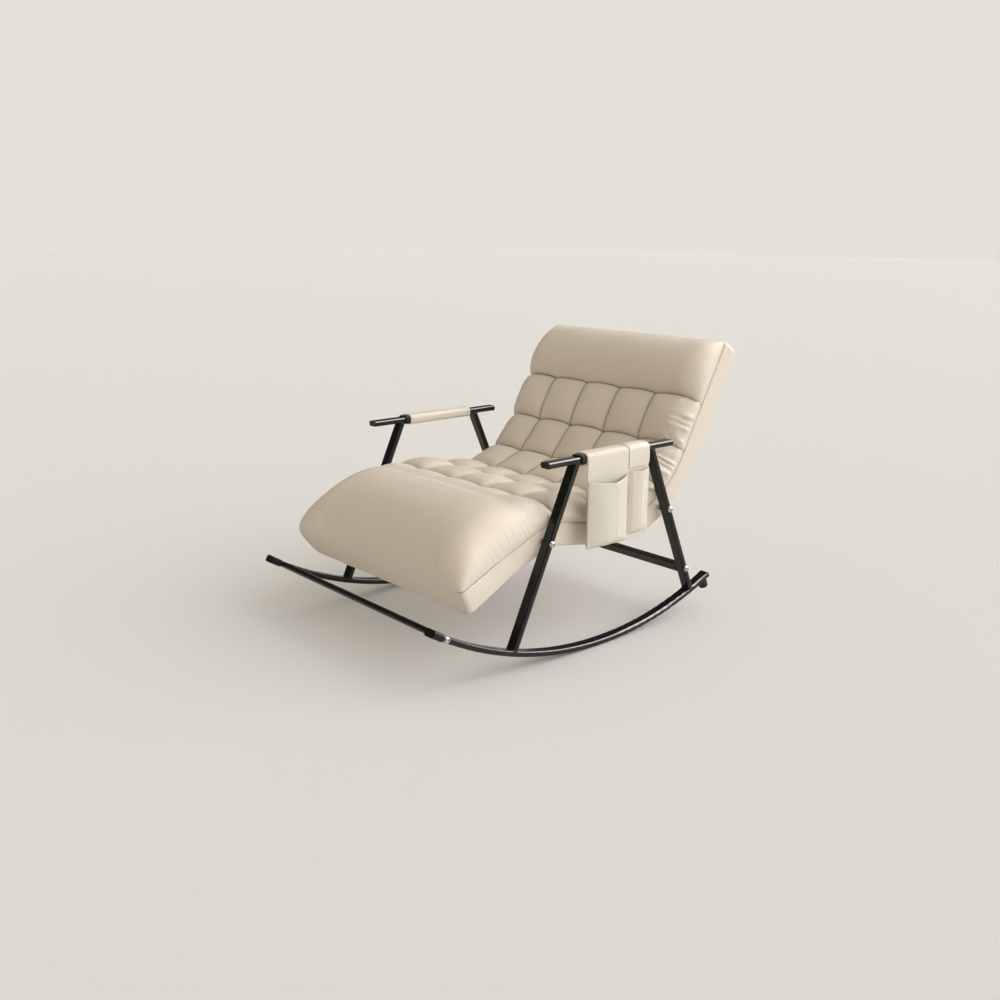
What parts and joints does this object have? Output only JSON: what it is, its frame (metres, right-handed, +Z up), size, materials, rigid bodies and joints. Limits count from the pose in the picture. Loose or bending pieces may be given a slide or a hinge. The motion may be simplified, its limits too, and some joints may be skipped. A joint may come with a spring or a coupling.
{
  "type": "upholstered rocking chair",
  "caption": "Rocking lounge chair: black tube rockers, legs and armrests carry a tufted beige lounge seat with headrest and leg rest rolls, and a pocket hangs from one armrest.",
  "frame": {"origin": "on the floor, midway between the points where the two rockers touch it", "axes": "+X to the sitter's left, where the pocket hangs, +Y to the rear, +Z up"},
  "size_m": [0.7747, 1.0885, 0.7368],
  "materials": {
    "frame_black": "gloss black paint",
    "cap_black": "moulded",
    "stop_rubber": "matt",
    "rail_grey": "grey primer",
    "bolt_steel": "zinc plated",
    "webbing_black": "woven",
    "base_foam": "open-cell foam",
    "upholstery_beige": "smooth leather-look cloth",
    "sleeve_beige": "smooth leather-look cloth",
    "pad_foam_black": "closed-cell foam"
  },
  "bodies": {
    "chair": {"rocker_left": "frame_black", "rocker_right": "frame_black", "front_leg_left": "frame_black", "front_leg_right": "frame_black", "rear_leg_left": "frame_black", "rear_leg_right": "frame_black", "armrest_bar_left": "frame_black", "armrest_bar_right": "frame_black", "front_crossbar": "frame_black", "rear_crossbar": "frame_black", "rocker_tip_caps": "cap_black", "rocker_rear_plugs": "cap_black", "armrest_end_caps": "cap_black", "rear_stops": "stop_rubber", "seat_side_rail_left": "rail_grey", "seat_side_rail_right": "rail_grey", "cross_rail_front": "rail_grey", "cross_rail_knee": "rail_grey", "cross_rail_hip": "rail_grey", "cross_rail_top": "rail_grey", "front_crossbar_plugs": "bolt_steel", "rear_crossbar_plugs": "bolt_steel", "front_crossbar_bolts": "bolt_steel", "rear_crossbar_bolts": "bolt_steel", "seat_bolts": "bolt_steel", "bolt_washers": "bolt_steel", "seat_spacers": "bolt_steel", "seat_rivet_nuts": "bolt_steel", "rear_stop_screws": "bolt_steel", "leg_rest_webbing": "webbing_black", "seat_webbing": "webbing_black", "back_webbing": "webbing_black", "leg_rest_foam": "base_foam", "seat_foam": "base_foam", "back_foam": "base_foam", "leg_rest_roll": "upholstery_beige", "seat_row_front": "upholstery_beige", "seat_row_rear": "upholstery_beige", "lumbar_row": "upholstery_beige", "back_row_lower": "upholstery_beige", "back_row_upper": "upholstery_beige", "headrest_roll": "upholstery_beige", "side_border_left": "upholstery_beige", "side_border_right": "upholstery_beige", "front_border": "upholstery_beige", "top_border": "upholstery_beige", "under_cover": "upholstery_beige", "arm_sleeve_left": "sleeve_beige", "arm_sleeve_right": "sleeve_beige", "arm_pad_left": "pad_foam_black", "arm_pad_right": "pad_foam_black"},
    "pocket": {"pocket_back": "sleeve_beige", "magazine_pocket": "sleeve_beige", "remote_pocket": "sleeve_beige"}
  },
  "joints": [
    {"name": "pocket_swing", "type": "hinge", "parent": "chair", "child": "pocket", "pos_m": [0.3729, 0.022, 0.491], "axis": [0, -1, 0], "range_deg": [0, 75]}
  ]
}
